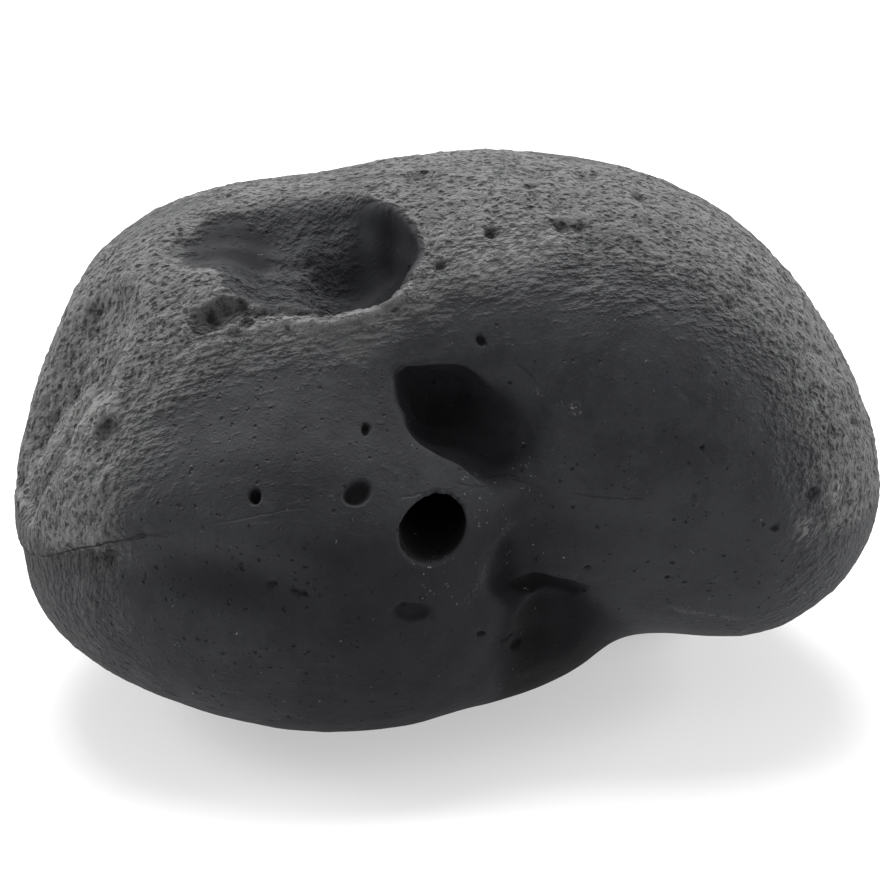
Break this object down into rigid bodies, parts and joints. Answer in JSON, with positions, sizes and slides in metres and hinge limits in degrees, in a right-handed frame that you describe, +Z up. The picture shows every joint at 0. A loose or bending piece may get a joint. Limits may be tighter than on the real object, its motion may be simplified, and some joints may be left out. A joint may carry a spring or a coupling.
{
  "type": "river rock",
  "caption": "Dark charcoal river rock with rounded lobes, a scooped top, worn hollows, fine pores and one drilled blind hole.",
  "frame": {"origin": "middle of the rock's bounding box in X and Y, on the ground that it rests on", "axes": "+X along the rock's long side, towards the lobe that hangs clear of the ground; +Y to its back, away from the drilled hole; +Z up"},
  "size_m": [0.1717, 0.1205, 0.1045],
  "materials": {
    "stone": "matte"
  },
  "bodies": {
    "root": {"rock": "stone"}
  },
  "joints": []
}
